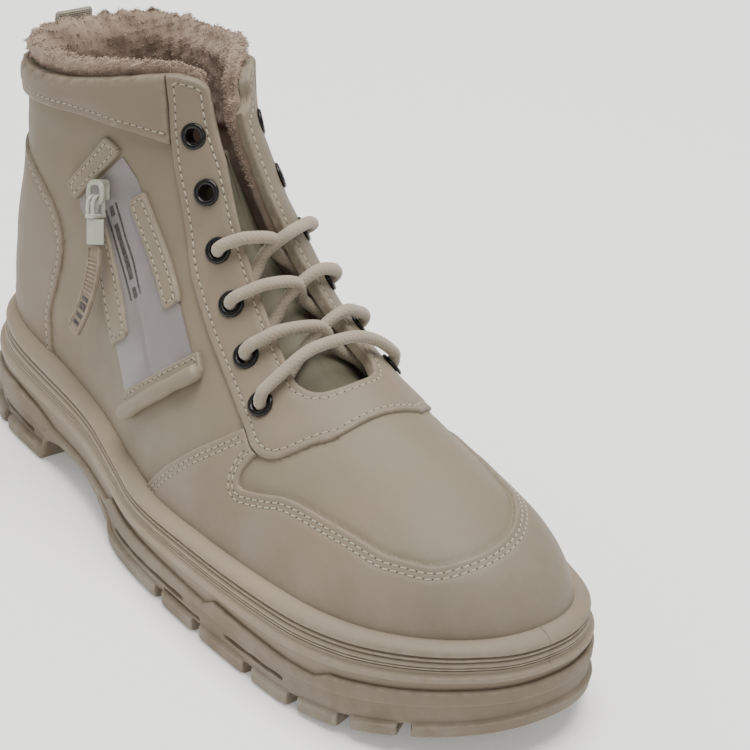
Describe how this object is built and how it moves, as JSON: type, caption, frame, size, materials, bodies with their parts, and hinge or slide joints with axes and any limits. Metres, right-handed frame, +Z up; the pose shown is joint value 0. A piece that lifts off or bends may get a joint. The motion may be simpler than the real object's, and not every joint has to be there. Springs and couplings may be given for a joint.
{
  "type": "ankle boot",
  "caption": "Lace-up winter ankle boot for the right foot, with a chunky moulded lug sole, warm lining and a decorative zip pull on its outer side.",
  "frame": {"origin": "middle of the bounding box in plan, on the floor", "axes": "+X to the toe, +Y to the wearer's left, +Z up"},
  "size_m": [0.3005, 0.1149, 0.1704],
  "materials": {
    "outsole": "matte moulded rubber",
    "midsole": "matte moulded rubber",
    "insole": "pile",
    "upper_leather": "smooth semi-matt",
    "tongue_leather": "smooth semi-matt",
    "overlay_leather": "smooth semi-matt",
    "pile": "brushed pile",
    "webbing": "woven",
    "eyelet": "gloss black",
    "lace": "braided",
    "ribbon": "satin",
    "slider_plastic": "moulded",
    "clear_plastic": "translucent",
    "tag_rubber": "ribbed rubber"
  },
  "bodies": {
    "boot": {"outsole": "outsole", "midsole": "midsole", "insole": "insole", "upper": "upper_leather", "tongue": "tongue_leather", "eyestay": "overlay_leather", "mudguard": "overlay_leather", "heel_counter": "overlay_leather", "collar_band": "overlay_leather", "collar_lining": "pile", "heel_loop": "webbing", "eyelet_lateral_1": "eyelet", "eyelet_lateral_2": "eyelet", "eyelet_lateral_3": "eyelet", "eyelet_lateral_4": "eyelet", "eyelet_lateral_5": "eyelet", "eyelet_lateral_6": "eyelet", "eyelet_medial_1": "eyelet", "eyelet_medial_2": "eyelet", "eyelet_medial_3": "eyelet", "eyelet_medial_4": "eyelet", "eyelet_medial_5": "eyelet", "eyelet_medial_6": "eyelet", "lace_cross_1": "lace", "lace_cross_2": "lace", "lace_cross_3": "lace", "lace_bar": "lace", "label_ribbon": "ribbon", "label_tab": "overlay_leather", "label_strip_rear": "overlay_leather", "label_strip_front": "overlay_leather", "label_roll": "overlay_leather", "zip_slider": "slider_plastic"},
    "pull": {"pull_loop": "clear_plastic", "pull_clasp": "slider_plastic", "pull_tag": "tag_rubber"}
  },
  "joints": [
    {"name": "pull_lift", "type": "hinge", "parent": "boot", "child": "pull", "pos_m": [-0.07415, -0.03178, 0.1102], "axis": [-0.9267, -0.2058, -0.3144], "range_deg": [0, 120]}
  ]
}
